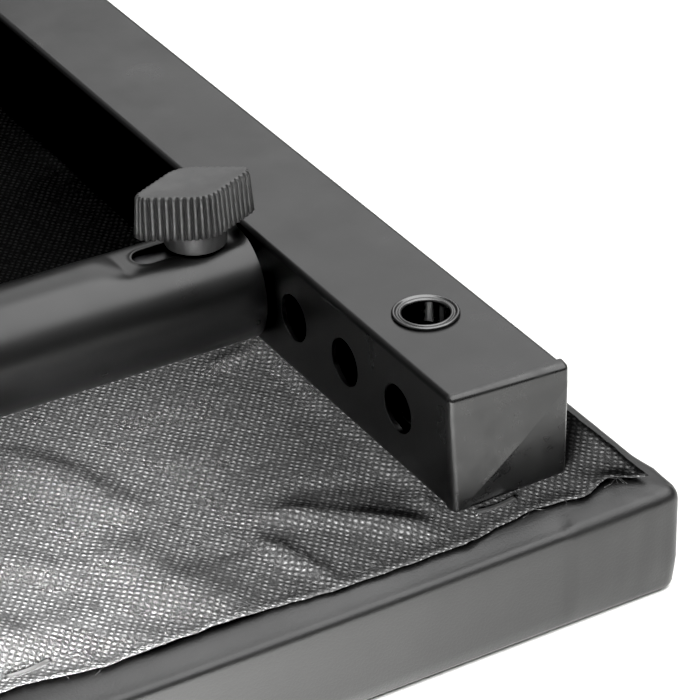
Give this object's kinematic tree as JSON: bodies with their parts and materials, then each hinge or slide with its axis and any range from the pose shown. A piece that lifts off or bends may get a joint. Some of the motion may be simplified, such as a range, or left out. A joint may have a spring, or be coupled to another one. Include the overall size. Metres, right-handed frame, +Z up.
{
  "type": "folding padded bench",
  "caption": "Padded bench on folding crossed legs, lying upside down: square rails with height holes, round cross tubes, sliding lock pins clamped by wing knobs.",
  "frame": {"origin": "middle of the sitting face of the pad, which lies on the floor", "axes": "+Z up out of the underside of the seat towards the feet, +Y along the seat towards the keepers, +X across the seat"},
  "size_m": [0.324, 0.512, 0.5009],
  "materials": {
    "upholstery_vinyl": "black grained upholstery vinyl",
    "foam": "open cell foam",
    "plywood": "raw plywood",
    "dust_cloth": "embossed black non-woven cloth",
    "staple_wire": "blackened wire",
    "zinc_plated_steel": "bright zinc plate",
    "black_oxide_steel": "black oxide",
    "nickel_eyelet": "dark nickel plate",
    "powder_coat": "black semi-gloss powder coat",
    "cap_plastic": "moulded satin black",
    "knob_plastic": "moulded black glass filled nylon",
    "slider_plastic": "moulded dark grey",
    "nylon": "natural nylon",
    "foot_rubber": "matt black rubber"
  },
  "bodies": {
    "seat": {"vinyl_cover": "upholstery_vinyl", "foam_pad": "foam", "seat_board": "plywood", "dust_cover": "dust_cloth", "dust_cover_staples": "staple_wire", "tee_nuts": "zinc_plated_steel", "rail_right": "powder_coat", "rail_left": "powder_coat", "rail_cap_right_near": "cap_plastic", "rail_cap_right_far": "cap_plastic", "rail_cap_left_near": "cap_plastic", "rail_cap_left_far": "cap_plastic", "rail_eyelets": "nickel_eyelet", "rail_bolts": "black_oxide_steel", "rail_washers": "zinc_plated_steel", "keeper_right": "powder_coat", "keeper_left": "powder_coat", "keeper_rivets": "zinc_plated_steel"},
    "near_legs": {"near_cross_tube": "powder_coat", "near_leg": "powder_coat", "near_foot_tube": "powder_coat", "near_foot_cap_right": "foot_rubber", "near_foot_cap_left": "foot_rubber", "pivot_bolt": "zinc_plated_steel", "pivot_nut": "zinc_plated_steel", "pivot_washers": "zinc_plated_steel", "pivot_spacer": "nylon", "pivot_sleeve": "powder_coat"},
    "far_legs": {"far_cross_tube": "powder_coat", "far_tube_plug_right": "cap_plastic", "far_tube_plug_left": "cap_plastic", "far_leg": "powder_coat", "pivot_bush": "nylon", "far_foot_tube": "powder_coat", "far_foot_cap_right": "foot_rubber", "far_foot_cap_left": "foot_rubber"},
    "lock_right": {"lock_slider_right": "slider_plastic", "lock_pin_right": "zinc_plated_steel"},
    "lock_left": {"lock_slider_left": "slider_plastic", "lock_pin_left": "zinc_plated_steel"},
    "knob_right": {"knob_right": "knob_plastic", "knob_stud_right": "zinc_plated_steel"},
    "knob_left": {"knob_left": "knob_plastic", "knob_stud_left": "zinc_plated_steel"}
  },
  "joints": [
    {"name": "leg_fold", "type": "hinge", "parent": "seat", "child": "near_legs", "pos_m": [0, -0.1398, 0.0457], "axis": [1, 0, 0], "range_deg": [0, 30]},
    {"name": "leg_cross_pivot", "type": "hinge", "parent": "near_legs", "child": "far_legs", "pos_m": [0, 0.0352, 0.26427], "axis": [1, 0, 0], "range_deg": [-60, 0]},
    {"name": "lock_right_slide", "type": "slide", "parent": "near_legs", "child": "lock_right", "axis": [-1, 0, 0], "range_m": [0, 0.013]},
    {"name": "lock_left_slide", "type": "slide", "parent": "near_legs", "child": "lock_left", "axis": [1, 0, 0], "range_m": [0, 0.013]},
    {"name": "knob_right_turn", "type": "hinge", "parent": "lock_right", "child": "knob_right", "pos_m": [0.0968, -0.1398, 0.05], "axis": [0, 0, 1], "continuous": true},
    {"name": "knob_left_turn", "type": "hinge", "parent": "lock_left", "child": "knob_left", "pos_m": [-0.0968, -0.1398, 0.05], "axis": [0, 0, 1], "continuous": true}
  ],
  "couplings": [
    {"joint": "leg_cross_pivot", "follows": "leg_fold", "ratio": -2}
  ]
}
